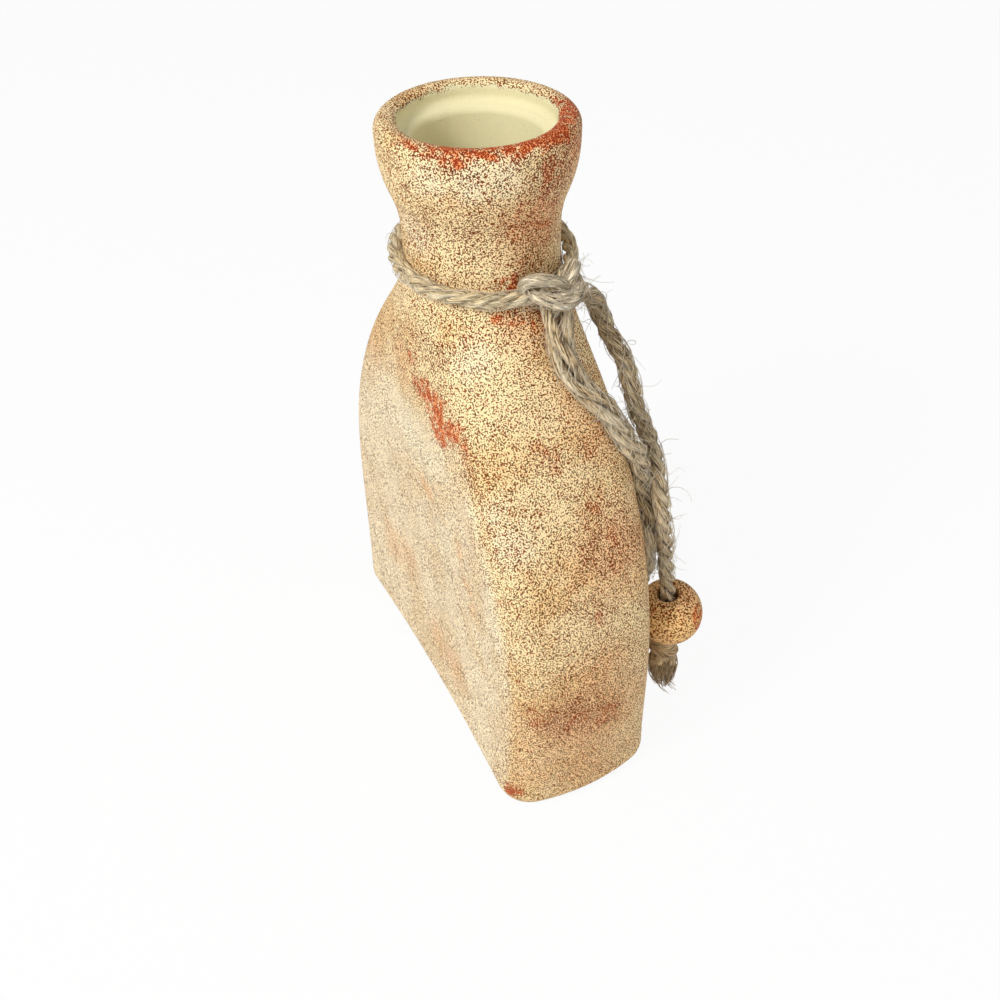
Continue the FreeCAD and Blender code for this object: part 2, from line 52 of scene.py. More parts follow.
# How far a ply leans to and fro in radians and sways in and out as a share of
# its offset, and how fast it does each, in radians to a turn.
PLY_LEAN = 0.12
PLY_LEAN_PACE = 9
PLY_SWAY = 0.05
PLY_SWAY_PACE = 5
# Ripples of a ply's outline: their number, how many crests each has round it,
# how fast each runs along it in radians to the metre, and how deep it is as a
# share of the radius.
RIPPLES = 6
RIPPLES_ROUND = (3, 7)
RIPPLES_ALONG = (300, 1200)
RIPPLE_DEPTHS = (0.012, 0.03)

# Loop round the foot of the neck: it hangs lower on the knot's side, dips at
# the knot, is open there, and is pulled a little thinner than slack twine.
NECK_FOOT = 162.0 * MM
LOOP_THIN = 0.90
LOOP_RADIUS = 23.4 * MM
LOOP_SHIFT = 0.4 * MM
LOOP_DROP = 2.2 * MM
LOOP_LOW = math.radians(190)
LOOP_OPENING = math.radians(6)
LOOP_SPOTS = 240
KNOT_TURN = math.radians(200)
KNOT_DIP = 1.2 * MM
KNOT_DIP_SPREAD = math.radians(28)

# Routes of the two tails, from the knot to their ends.
LONG_TAIL = [Vector(p) * MM for p in (
    (-22.3, -13.6, 155.0), (-15.0, -24.7, 151.6), (-20.7, -26.8, 140.2), (-28.1, -30.2, 130.6),
    (-33.2, -29.6, 120.4), (-37.6, -32.8, 111.2), (-48.0, -31.2, 94.6), (-48.9, -33.2, 75.0),
    (-50.4, -36.7, 41.8),
)]
SHORT_TAIL = [Vector(p) * MM for p in (
    (-25.1, -9.0, 156.6), (-28.7, -7.3, 151.9), (-32.2, -6.1, 146.5), (-37.4, -7.9, 138.0),
    (-41.0, -14.3, 131.6), (-43.4, -19.1, 122.0), (-43.2, -26.0, 110.6), (-40.4, -27.7, 100.3),
    (-42.0, -29.6, 92.7), (-44.8, -28.8, 84.5), (-46.9, -27.9, 75.8), (-47.0, -26.9, 67.1),
)]

# How close the points of a line lie, and those of a wrap of the knot.
LINE_STEP = 0.4 * MM
WRAP_STEP = 0.3 * MM
# Sides of the tubes: plies, wraps, the stopper's wraps and core, fibres and hairs.
PLY_SIDES = 12
WRAP_SIDES = 24
STOPPER_SIDES = 18
CORE_SIDES = 20
FIBRE_SIDES = 5
LYING_SIDES = 4
HAIR_SIDES = 3
# How near the twine and its loose hairs come to the glaze, and from how far
# away it is looked for.
TWINE_GAP = 0.12 * MM
HAIR_GAP = 0.1 * MM
WALL_REACH = 8 * MM

# Loose hairs: how many bends they have, how much they curl at each in radians
# and sag, their thickness, and that of the fibres that lie along the twine, in mm.
HAIR_STEPS = 9
HAIR_CURL = 0.85
HAIR_SAG = 0.03
HAIR_THICK = (0.05, 0.12)
LYING_THICK = (0.07, 0.14)

# Wraps of the knot: their routes in mm, and the number, the points and the
# thickness in mm of the fibres that lie on each.
UPPER_WRAP = ((-22.6, -2.2, 158.0), (-23.4, 0.2, 161.2), (-24.8, 0.2, 164.2), (-26.6, -2.4, 165.2),
              (-27.2, -5.8, 164.2), (-26.8, -9.4, 162.4), (-25.2, -13.0, 159.8), (-23.2, -15.4, 157.0))
LOWER_WRAP = ((-24.0, -1.2, 160.4), (-27.0, -1.0, 161.2), (-30.2, -3.2, 160.8), (-31.6, -6.4, 160.0),
              (-31.0, -10.0, 159.4), (-28.0, -13.2, 159.0), (-24.6, -15.6, 159.6), (-21.4, -15.4, 162.0))
INNER_WRAP = ((-21.9, -15.8, 164.4), (-24.2, -13.6, 162.6), (-26.0, -10.6, 159.4), (-26.6, -8.4, 156.0),
              (-26.2, -6.6, 153.8), (-24.4, -5.2, 156.2))
WRAP_FIBRES = 90
WRAP_FIBRE_SPOTS = 12
WRAP_FIBRE_THICK = (0.06, 0.14)

# Stopper knot: how far it hangs aside in mm, each wrap's slope, and how low it
# lies, its width and its thickness in mm, and the points of its line.
STOPPER_ASIDE = 2.6
STOPPER_WRAPS = ((0.55, 2.9, 2.2, 2.0), (-0.6, 5.6, 2.5, 2.1), (0.1, 4.2, 2.0, 2.2))
WRAP_SPOTS = 40
# Brush of the twine's end: how low its core and its tips lie in mm, the number,
# points and thickness in mm of its fibres, and the share with a stray tip.
CORE_SPOTS = (5.0, 8.0, 11.0, 14.0, 17.0, 20.5)
CORE_STEP = 0.5 * MM
BRUSH_TIPS = (17.5, 22.6)
BRUSH_FIBRES = 260
BRUSH_FIBRE_SPOTS = 10
BRUSH_FIBRE_THICK = (0.12, 0.24)
STRAY_TIPS = 0.03


# Colours are written as on a paint chart and turned into the render's own scale.
def paint(chart):
    parts = [int(chart[k:k + 2], 16) / 255 for k in (0, 2, 4)]
    return [(c / 12.92 if c <= 0.04045 else ((c + 0.055) / 1.055) ** 2.4) for c in parts] + [1.0]


# The glaze's ground, from its usual cream to the places that turned.
CREAM = paint("FBE3B0")
PALE = paint("FAEDCA")
GOLD = paint("F6D296")
PEACH = paint("F8C893")
ORANGE = paint("F08E50")
# The broad faces' paler ground: partly the glaze's own, partly painted sheen.
PALE_FACE_AND_PAINTED_SHEEN = paint("FCEAC6")
BEAD_GROUND = paint("FCD08C")
# Its specks, and the lining inside the vase with the painted shade it takes deeper down.
BROWN_SPECK = paint("643602")
WARM_SPECK = paint("863A00")
TAN_SPECK = paint("643606")
DEEP_SPECK = paint("6A2604")
RUST = paint("923214")
LINING = paint("E6DEB4")
LINING_PAINTED_SHADE = paint("DECB8C")
# Light, dark and middle colour of the fibres in each stretch of the twine. They are partly painted light and
# shade: the knot's are lighter and the tails' darker, for how each is lit.
TWINE_FIBRES = (paint("FFF9DC"), paint("402E18"), paint("F4DAA8"))
LIT_KNOT_FIBRES = (paint("FFFBEA"), paint("38260E"), paint("F6E0B6"))
SHADED_TAIL_FIBRES = (paint("FFF4D4"), paint("342210"), paint("CEB082"))
END_FIBRES = (paint("F2D8AC"), paint("664C2C"), paint("C4A272"))
LOOSE_FIBRES = (paint("FFFAEC"), paint("B8A37C"), paint("EADBBC"))
# Light of the studio.
FLOOR_GREY = (0.86, 0.86, 0.86, 1)
WHITE = (1, 1, 1, 1)
WARM_WHITE = (1.0, 0.985, 0.96, 1)

# How fine the glaze's markings are, in waves to the metre.
EDGE_WAVES = 150.0
SCATTER_WAVES = 420.0
CLOUD_WAVES = 55.0
FINE_CLOUD_WAVES = 210.0
HUE_WAVES = 700.0
VASE_GRIT = 2500.0
BEAD_GRIT = 1900.0
SWELL_WAVES = 34.0
# How far a marking's edge wanders, where a patch is full and where it ends as
# parts of its reach, and how deep the glaze's swell and its specks are.
EDGE_REACH = 11.0 * MM
PATCH_FULL = 0.15
PATCH_END = 1.08
SWELL_DEPTH = 0.7 * MM
SPECK_DEPTH = 0.12 * MM
# The rim, and the bands round it: how far each reaches, and how strong it is on
# the side away from the knot. KNOT_SIDE points to the knot, and multiplied with
# a place on the rim there it gives about one; RIM_SIDE is where a band fades in
# by that measure. A band is full within RIM_FULL of the rim.
RIM_RADIUS = 23.2 * MM
RIM_HEIGHT = 199.8 * MM
RUST_BAND = (5.4 * MM, 0.20)
BROWN_BAND = (8.0 * MM, 0.28)
KNOT_SIDE = (-40.0, -6.0, 0.0)
RIM_FULL = 1.0 * MM
RIM_SIDE = (-0.1, 0.6)
RIM_MOST = 1.1
# Heights and radii between which a marking fades, and its strength at both: the broad faces' paler look,
# partly painted sheen, the lining's upper edge, mouth and lowest part, and the painted shade deeper inside
# the neck.
FACE_TOP = (108.0 * MM, 136.0 * MM, 1.0, 0.0)
LINING_TOP = (198.4 * MM, 199.2 * MM, 1.0, 0.0)
LINING_MOUTH = (19.6 * MM, 20.3 * MM, 1.0, 0.0)
LINING_FLOOR = (2.0 * MM, 4.5 * MM)
NECK_PAINTED_SHADE = (120.0 * MM, 180.0 * MM, 0.25, 0.0)
# How far the lining's upper edge wanders with the clouds and with the grit.
LINING_WANDER = 4.0 * MM
LINING_FRAY = 3.0 * MM
# How squarely a broad face looks along Y, and a lined one inward, and how much
# the clouds shift the first.
BROAD_FACING = (0.84, 1.0)
BROAD_CLOUD = 0.12
LINED_FACING = (-0.70, -0.50, 1.0, 0.0)
# Levels of a noise or a marking between which a colour comes in, and, where
# they aren't 0 and 1, its strengths at both.
RUST_SCATTER = (0.30, 0.66, 0.30, 1.15)
GOLD_CLOUDS = (0.44, 0.66, 0.0, 0.8)
ORANGE_GROUND = (0.20, 0.95, 0.0, 0.92)
BEAD_BROWN = (0.30, 0.60, 0.0, 0.12)
SPECK_LEVEL = (0.517, 0.543)
WARM_SPECKS = (0.40, 0.60)
RUSTY_SPECKS = (0.22, 0.90)
LINING_SPECKS = (0.66, 0.72)
# The most that a colour covers of what is under it.
BROWN_IN_RUST = 0.9
GOLD_OFF_THE_FACE = 0.6
PEACH_MOST = 0.85
PALE_MOST = 0.75
BEAD_PEACH = 0.2
SPECK_MOST = 0.98
LINING_SPECK_MOST = 0.2
# How much the clouds and each marking crowd the specks or thin them.
CLOUD_CROWDING = (0.3, 0.7, -0.010, 0.018)
FINE_CLOUD_CROWDING = (0.3, 0.7, -0.014, 0.014)
CROWDING = {"rust": 0.045, "brown": 0.040, "peach": 0.010, "pale": -0.004, "broad": -0.024}

# Places on the vase in mm, reach and strength. Rust: where the glaze ran thin.
RUST_PATCHES = [
    ((-20.8, 3.6, 162.8), 4.2, 0.95), ((-21.1, 0.1, 164.0), 4.5, 0.6), ((-16.6, 13.1, 169.5), 2.6, 0.5),
    ((-22.4, 9.0, 185.0), 8.0, 0.35), ((-24.0, 1.5, 183.0), 9.0, 0.45), ((-23.0, -6.5, 182.5), 10.0, 0.55),
    ((-21.6, 0.0, 176.0), 8.0, 0.5), ((-20.0, -8.0, 175.0), 10.0, 0.55), ((-20.6, -2.0, 167.5), 9.0, 0.45),
    ((-24.0, -8.0, 192.0), 10.0, 0.6), ((-18.0, -16.0, 196.0), 11.0, 0.55), ((-6.0, 25.0, 192.0), 7.0, 0.4),
    ((-22.0, 7.2, 154.6), 4.5, 0.7), ((-23.6, 2.4, 153.6), 5.0, 0.75), ((-24.6, -2.9, 152.0), 6.5, 0.8),
    ((9.5, 20.6, 151.5), 5.0, 0.3), ((1.0, 22.4, 147.7), 5.0, 0.4), ((4.1, 23.2, 139.8), 5.0, 0.3),
    ((-3.2, 23.9, 136.0), 6.0, 0.7), ((-9.5, 24.0, 130.0), 8.0, 0.9), ((-14.6, 23.7, 128.4), 9.0, 1.05),
    ((-19.8, 23.4, 127.2), 9.5, 1.15), ((-25.2, 23.0, 126.4), 8.5, 1.0), ((-20.0, 23.8, 123.0), 8.0, 1.05),
    ((-30.5, 22.7, 124.2), 6.5, 0.8), ((-34.6, 22.5, 120.4), 5.5, 0.5), ((-42.9, 5.5, 125.2), 4.5, 0.5),
    ((-45.0, 3.1, 121.7), 4.0, 0.55), ((-44.6, -7.0, 121.5), 5.0, 0.45), ((-51.0, -8.5, 107.0), 8.0, 0.45),
    ((-54.8, -10.2, 98.0), 8.0, 0.5), ((-58.0, -11.0, 90.0), 7.0, 0.5), ((-62.6, -3.0, 77.0), 7.0, 0.45),
    ((-52.4, 23.0, 85.6), 3.5, 0.55), ((-64.0, 16.5, 45.0), 9.0, 0.5), ((-66.0, 6.0, 41.0), 10.0, 0.55),
    ((-66.4, -4.0, 38.0), 9.0, 0.5), ((-57.9, 23.2, 7.0), 5.0, 1.0), ((24.0, -23.0, 128.0), 9.0, 0.6),
    ((34.0, -22.0, 112.0), 8.0, 0.5), ((64.0, -6.0, 62.0), 12.0, 0.5), ((-10.0, -24.0, 60.0), 9.0, 0.3),
]
# Brown: where the specks crowd together.
BROWN_PATCHES = [
    ((-11.0, 20.5, 180.0), 9.0, 0.6), ((-18.8, 11.7, 179.0), 9.0, 0.7), ((-9.0, -23.0, 197.0), 12.0, 0.7),
    ((-24.5, 1.0, 152.5), 10.0, 0.6), ((-9.0, 22.3, 143.5), 7.0, 0.9), ((-15.5, 21.0, 142.5), 7.0, 0.9),
    ((-18.0, 22.0, 136.0), 8.0, 0.4), ((-56.0, -9.5, 96.0), 16.0, 0.6), ((-63.5, 2.0, 74.0), 16.0, 0.4),
    ((-65.6, 7.0, 42.0), 16.0, 0.7), ((-36.0, 22.5, 118.0), 7.0, 0.4), ((-23.5, -9.0, 190.0), 11.0, 1.0),
    ((10.0, -22.0, 150.0), 12.0, 0.6), ((66.0, 2.0, 44.0), 20.0, 0.6), ((57.0, -8.0, 96.0), 14.0, 0.5),
]
# Peach: where the ground is warm.
PEACH_PATCHES = [
    ((-6.4, 23.7, 91.0), 6.5, 1.0), ((-28.5, 23.8, 84.0), 5.0, 0.8), ((-31.8, 23.7, 74.0), 5.5, 0.8),
    ((-35.4, 23.3, 66.0), 6.0, 0.6), ((30.7, 23.3, 37.0), 13.0, 0.6), ((17.7, 23.0, 41.0), 12.0, 0.6),
    ((-5.0, 23.2, 23.6), 12.0, 0.7), ((-17.4, 23.3, 23.7), 12.0, 0.6), ((-66.0, 2.0, 38.0), 28.0, 1.0),
    ((-63.0, 16.0, 20.0), 14.0, 0.6), ((-65.0, 0.0, 18.0), 20.0, 0.7), ((-66.3, -2.0, 58.0), 16.0, 0.7),
    ((-57.0, -11.0, 94.0), 20.0, 0.9), ((-36.0, -10.0, 134.0), 12.0, 0.7), ((-42.0, -14.0, 125.0), 12.0, 0.8),
    ((-22.0, -6.0, 178.0), 17.0, 1.0), ((-18.0, -16.0, 192.0), 14.0, 0.8), ((-24.6, -1.0, 151.0), 11.0, 0.7),
    ((30.0, 23.2, 122.0), 12.0, 0.5), ((66.0, 0.0, 50.0), 34.0, 0.8), ((30.0, -23.0, 60.0), 16.0, 0.5),
    ((6.0, 23.8, 130.0), 10.0, 0.5),
]
# Pale: where the ground is nearly white; the two low on the broad face, at 66 and 78 mm high, are a painted
# highlight.
PALE_AND_HIGHLIGHT_PATCHES = [
    ((2.0, 24.3, 107.8), 14.0, 0.9), ((-7.0, 24.2, 102.0), 10.0, 0.8), ((-14.5, 23.3, 78.0), 9.0, 0.9),
    ((-16.3, 23.0, 66.0), 8.0, 0.8), ((-45.0, 20.0, 110.0), 9.0, 0.7), ((-50.0, 18.6, 102.0), 10.0, 0.8),
    ((-5.0, 20.8, 173.6), 9.0, 0.8), ((-16.0, 20.3, 191.8), 7.0, 0.8), ((-22.5, 12.9, 192.8), 8.0, 0.9),
    ((-25.1, 5.5, 194.1), 7.0, 0.8), ((-23.9, 15.1, 145.1), 8.0, 0.7), ((20.0, -23.5, 100.0), 16.0, 0.8),
]
# Rust on the bead.
BEAD_RUST_PATCHES = [
    ((-60.0, -41.0, 53.5), 7.0, 1.0), ((-58.5, -43.5, 47.0), 7.0, 0.9), ((-49.0, -33.0, 41.0), 7.0, 0.6),
    ((-44.0, -44.0, 52.0), 6.0, 0.5), ((-53.0, -28.0, 57.5), 5.0, 0.5),
]


# One node of a material. Values go to its inputs by name or place, and an
# output of another node is linked.
def node(tree, kind, settings=None, inputs=None):
    made = tree.nodes.new(kind)
    for name, value in (settings or {}).items():
        setattr(made, name, value)
    for name, value in (inputs or {}).items():
        if isinstance(value, bpy.types.NodeSocket):
            tree.links.new(value, made.inputs[name])
        else:
            made.inputs[name].default_value = value
    return made


# Arithmetic on one or two numbers, as a node.
def number(tree, operation, first, second=0.0):
    return node(tree, "ShaderNodeMath", {"operation": operation}, {0: first, 1: second}).outputs[0]


def plus(tree, first, second):
    return number(tree, "ADD", first, second)


def minus(tree, first, second):
    return number(tree, "SUBTRACT", first, second)


def times(tree, first, second):
    return number(tree, "MULTIPLY", first, second)


def larger(tree, first, second):
    return number(tree, "MAXIMUM", first, second)


# The same on vectors, with a vector or a number as the answer.
def vector(tree, operation, inputs, answer="Vector"):
    return node(tree, "ShaderNodeVectorMath", {"operation": operation}, inputs).outputs[answer]


def parts_of(tree, place):
    return node(tree, "ShaderNodeSeparateXYZ", None, {0: place}).outputs


def joined(tree, *parts):
    return node(tree, "ShaderNodeCombineXYZ", None, dict(enumerate(parts))).outputs[0]


def blended(tree, share, first, second):
    inputs = {"Factor": share, 6: first, 7: second}
    return node(tree, "ShaderNodeMix", {"data_type": "RGBA"}, inputs).outputs[2]


def ramp(tree, value, start, end, low=0.0, high=1.0):
    inputs = {"Value": value, "From Min": start, "From Max": end, "To Min": low, "To Max": high}
    return node(tree, "ShaderNodeMapRange", {"interpolation_type": "SMOOTHSTEP"}, inputs).outputs[0]


def mottle(tree, place, scale, detail=2.0, roughness=0.5, answer=0):
    inputs = {"Vector": place, "Scale": scale, "Detail": detail, "Roughness": roughness}
    return node(tree, "ShaderNodeTexNoise", None, inputs).outputs[answer]


def bump(tree, height, strength, depth, normal=None):
    inputs = {"Strength": strength, "Distance": depth, "Height": height}
    if normal:
        inputs["Normal"] = normal
    return node(tree, "ShaderNodeBump", None, inputs).outputs[0]


def new_finish(name):
    finish = bpy.data.materials.new(name)
    finish.use_nodes = True
    tree = finish.node_tree
    shader = next(each for each in tree.nodes if each.type == "BSDF_PRINCIPLED")
    return finish, tree, shader


# Strength of a soft-edged patch of colour.
def patch(tree, place, centre, reach, strength):
    away = vector(tree, "DISTANCE", {0: place, 1: [c * MM for c in centre]}, "Value")
    return ramp(tree, away, reach * MM * PATCH_FULL, reach * MM * PATCH_END, strength, 0.0)


def patches(tree, place, spots):
    total = patch(tree, place, *spots[0])
    for spot in spots[1:]:
        total = larger(tree, total, patch(tree, place, *spot))
    return total


# Place on a piece, moved to and fro a little, which gives patches ragged outlines.
def ragged_place(tree, place):
    drift = mottle(tree, place, EDGE_WAVES, detail=4.0, roughness=0.65, answer="Color")
    shake = vector(tree, "SCALE", {0: drift, "Scale": EDGE_REACH})
    centred = vector(tree, "SUBTRACT", {0: shake, 1: (EDGE_REACH / 2,) * 3})
    return vector(tree, "ADD", {0: place, 1: centred})


# A band of colour round the rim, strongest on the side where the knot is.
def rim_band(tree, place, reach, least):
    parts = parts_of(tree, place)
    flat = joined(tree, parts[0], parts[1])
    aside = minus(tree, vector(tree, "LENGTH", {0: flat}, "Value"), RIM_RADIUS)
    above = minus(tree, parts[2], RIM_HEIGHT)
    off = number(tree, "SQRT", plus(tree, times(tree, aside, aside), times(tree, above, above)))
    side = vector(tree, "DOT_PRODUCT", {0: flat, 1: KNOT_SIDE}, "Value")
    strength = ramp(tree, side, *RIM_SIDE, least, RIM_MOST)
    return times(tree, ramp(tree, off, RIM_FULL, reach, 1.0, 0.0), strength)


# Rust: its patches, a band round the rim of a lined piece, and a scatter that
# lets the ground through.
def rust_share(tree, place, ragged, rust_patches, lined):
    rust = patches(tree, ragged, rust_patches)
    if lined:
        rust = larger(tree, rust, rim_band(tree, ragged, *RUST_BAND))
    scatter = mottle(tree, place, SCATTER_WAVES, detail=3.0, roughness=0.6)
    return times(tree, rust, ramp(tree, scatter, *RUST_SCATTER))


# How strong each marking is at a place of the vase. The broad faces are those that look along Y, up to the
# shoulder; their paler ground is partly painted sheen.
def vase_markings(tree, ragged, normal, cloud, rust):
    brown = patches(tree, ragged, BROWN_PATCHES)
    brown = larger(tree, brown, rim_band(tree, ragged, *BROWN_BAND))
    brown = larger(tree, brown, times(tree, rust, BROWN_IN_RUST))
    peach = patches(tree, ragged, PEACH_PATCHES)
    pale = patches(tree, ragged, PALE_AND_HIGHLIGHT_PATCHES)
    facing = number(tree, "ABSOLUTE", parts_of(tree, normal)[1])
    low = ramp(tree, parts_of(tree, ragged)[2], *FACE_TOP)
    facing = plus(tree, facing, times(tree, minus(tree, cloud, 0.5), BROAD_CLOUD))
    broad = times(tree, ramp(tree, facing, *BROAD_FACING), low)
    return {"rust": rust, "brown": brown, "peach": peach, "pale": pale, "broad": broad}


def bead_markings(tree, cloud, rust):
    brown = ramp(tree, cloud, *BEAD_BROWN)
    return {"rust": rust, "brown": brown, "peach": BEAD_PEACH, "pale": 0.0, "broad": 0.0}


# The colour under the specks.
def glaze_ground(tree, marks, cloud, ground, warm):
    off_the_face = minus(tree, 1.0, times(tree, marks["broad"], GOLD_OFF_THE_FACE))
    gold = times(tree, ramp(tree, cloud, *GOLD_CLOUDS), off_the_face)
    ground = blended(tree, gold, ground, warm)
    ground = blended(tree, times(tree, marks["peach"], PEACH_MOST), ground, PEACH)
    # Pale patches, two of them a painted highlight on the broad face.
    ground = blended(tree, times(tree, marks["pale"], PALE_MOST), ground, PALE)
    return blended(tree, ramp(tree, marks["rust"], *ORANGE_GROUND), ground, ORANGE)


# The grit's height with all that crowds it; a speck is where it is high.
def speck_level(tree, grit, marks, cloud, fine_cloud):
    dense = plus(tree, ramp(tree, cloud, *CLOUD_CROWDING), ramp(tree, fine_cloud, *FINE_CLOUD_CROWDING))
    for mark, amount in CROWDING.items():
        dense = plus(tree, dense, times(tree, marks[mark], amount))
    return plus(tree, grit, dense)


def speck_colour(tree, place, marks):
    hue = ramp(tree, mottle(tree, place, HUE_WAVES, detail=1.0), *WARM_SPECKS)
    colour = blended(tree, hue, BROWN_SPECK, WARM_SPECK)
    colour = blended(tree, marks["broad"], colour, TAN_SPECK)
    colour = blended(tree, marks["brown"], colour, DEEP_SPECK)
    return blended(tree, ramp(tree, marks["rust"], *RUSTY_SPECKS), colour, RUST)


# The cream lining: on faces that look inward and within the mouth, under the rim's uneven edge and above the
# foot, with faint specks and painted shade that deepens lower inside the neck.
def with_lining(tree, colour, place, normal, grit, fine_cloud):
    parts = parts_of(tree, place)
    flat = joined(tree, parts[0], parts[1])
    outward = vector(tree, "NORMALIZE", {0: flat})
    turned = vector(tree, "DOT_PRODUCT", {0: normal, 1: outward}, "Value")
    away = vector(tree, "LENGTH", {0: flat}, "Value")
    uneven = plus(tree, times(tree, minus(tree, fine_cloud, 0.5), LINING_WANDER),
                  times(tree, minus(tree, grit, 0.5), LINING_FRAY))
    under = ramp(tree, plus(tree, parts[2], uneven), *LINING_TOP)
    inward = larger(tree, ramp(tree, turned, *LINED_FACING), ramp(tree, away, *LINING_MOUTH))
    inside = times(tree, inward, times(tree, under, ramp(tree, parts[2], *LINING_FLOOR)))
    # Painted shade: the lining is darker towards the bottom of the neck.
    lining = blended(tree, ramp(tree, parts[2], *NECK_PAINTED_SHADE), LINING, LINING_PAINTED_SHADE)
    faint = times(tree, ramp(tree, grit, *LINING_SPECKS), LINING_SPECK_MOST)
    lining = blended(tree, faint, lining, TAN_SPECK)
    return blended(tree, inside, colour, lining)


# Speckled glaze: a cream ground that turns to peach in places, covered by brown specks, and by rust where the
# glaze ran thin. The broad faces are paler and more finely speckled, partly the glaze's own look and partly
# painted sheen. A lined piece is cream inside, nearly without specks.
def glaze(name, rust_patches, lined):
    finish, tree, shader = new_finish(name)
    spot = node(tree, "ShaderNodeTexCoord").outputs
    place = spot["Object"]
    ragged = ragged_place(tree, place)
    rust = rust_share(tree, place, ragged, rust_patches, lined)
    cloud = mottle(tree, place, CLOUD_WAVES, detail=3.0, roughness=0.55)
    fine_cloud = mottle(tree, place, FINE_CLOUD_WAVES)
    if lined:
        marks = vase_markings(tree, ragged, spot["Normal"], cloud, rust)
        # The broad faces get a paler ground, partly painted sheen.
        ground = glaze_ground(tree, marks, cloud, blended(tree, marks["broad"], CREAM, PALE_FACE_AND_PAINTED_SHEEN), GOLD)
    else:
        marks = bead_markings(tree, cloud, rust)
        ground = glaze_ground(tree, marks, cloud, BEAD_GROUND, PEACH)
    grit = mottle(tree, place, VASE_GRIT if lined else BEAD_GRIT, detail=1.0)
    level = speck_level(tree, grit, marks, cloud, fine_cloud)
    speck = times(tree, ramp(tree, level, *SPECK_LEVEL), SPECK_MOST)
    colour = blended(tree, speck, ground, speck_colour(tree, place, marks))
    if lined:
        colour = with_lining(tree, colour, place, spot["Normal"], grit, fine_cloud)
    tree.links.new(colour, shader.inputs["Base Color"])
    shader.inputs["Roughness"].default_value = 0.60
    shader.inputs["Specular IOR Level"].default_value = 0.12
    shader.inputs["IOR"].default_value = 1.42
    swell = mottle(tree, place, SWELL_WAVES, detail=1.0, roughness=0.4)
    swell = bump(tree, swell, strength=0.5, depth=SWELL_DEPTH)
    raised = bump(tree, level, strength=0.35, depth=SPECK_DEPTH, normal=swell)
    tree.links.new(raised, shader.inputs["Normal"])
    return finish


# How the fibres run: their slant round a ply in radians to the metre, how fast
# they change along it, how fine the narrow and the broad streaks are, the
# twine's clouds in waves to the metre, and how deep the fibres are.
FIBRE_SLANT = -150.0
FIBRE_RUN = 70.0
FINE_STREAKS = 4.2
BROAD_STREAKS = 1.1
FIBRE_CLOUDS = 120.0
FIBRE_DEPTH = 0.3 * MM
# Levels of the streaks and clouds between which a colour comes in, and its
# strengths at both.
MIDDLE_STREAKS = (0.38, 0.58, 0.0, 1.0)
LIGHT_STREAKS = (0.52, 0.72, 0.0, 0.95)
LIGHT_BROAD_STREAKS = (0.40, 0.75, 0.0, 0.45)
DARK_CLOUDS = (0.45, 0.80, 0.0, 0.35)


# Jute: fibres run along each ply. The piece's map gives the turn round the ply
# and the length along it, in metres.
def jute(name, light, dark, middle):
    finish, tree, shader = new_finish(name)
    chart = node(tree, "ShaderNodeUVMap", {"uv_map": "fibre"}).outputs[0]
    parts = parts_of(tree, chart)
    turn = plus(tree, times(tree, parts[0], math.tau), times(tree, parts[1], FIBRE_SLANT))
    across = number(tree, "COSINE", turn)
    over = number(tree, "SINE", turn)
    place = joined(tree, across, over, times(tree, parts[1], FIBRE_RUN))
    spot = node(tree, "ShaderNodeTexCoord").outputs["Object"]
    streak = mottle(tree, place, FINE_STREAKS, detail=3.0, roughness=0.7)
    broad = mottle(tree, place, BROAD_STREAKS)
    cloud = mottle(tree, spot, FIBRE_CLOUDS)
    colour = blended(tree, ramp(tree, streak, *MIDDLE_STREAKS), dark, middle)
    colour = blended(tree, ramp(tree, streak, *LIGHT_STREAKS), colour, light)
    colour = blended(tree, ramp(tree, broad, *LIGHT_BROAD_STREAKS), colour, light)
    colour = blended(tree, ramp(tree, cloud, *DARK_CLOUDS), colour, dark)
    tree.links.new(colour, shader.inputs["Base Color"])
    shader.inputs["Roughness"].default_value = 0.8
    shader.inputs["IOR"].default_value = 1.35
    shader.inputs["Sheen Weight"].default_value = 0.25
    raised = bump(tree, streak, strength=0.7, depth=FIBRE_DEPTH)
    tree.links.new(raised, shader.inputs["Normal"])
    return finish


# Points along a smooth line drawn by its control points, evenly spaced.
def smooth_line(points, step=LINE_STEP):
    curve = bpy.data.curves.new("route", "CURVE")
    curve.dimensions = "3D"
    spline = curve.splines.new("NURBS")
    spline.points.add(len(points) - 1)
    for spot, point in zip(spline.points, points):
        spot.co = (*point, 1.0)
    spline.order_u = 3
    spline.resolution_u = 24
    spline.use_endpoint_u = True
    route = bpy.data.objects.new("route", curve)
    bpy.context.collection.objects.link(route)
    mesh = bpy.data.meshes.new_from_object(route)
    corners = [vertex.co.copy() for vertex in mesh.vertices]
    bpy.data.objects.remove(route)
    bpy.data.meshes.remove(mesh)
    bpy.data.curves.remove(curve)
    return even_line(corners, step)


def even_line(corners, step):
    reached = [0.0]
    for before, after in zip(corners, corners[1:]):
        reached.append(reached[-1] + (after - before).length)
    count = max(2, round(reached[-1] / step))
    line = []
    k = 0
    for index in range(count + 1):
        goal = reached[-1] * index / count
        while k < len(corners) - 2 and reached[k + 1] < goal:
            k += 1
        span = reached[k + 1] - reached[k]
        share = (goal - reached[k]) / span if span else 0.0
        line.append(corners[k].lerp(corners[k + 1], share))
    return line


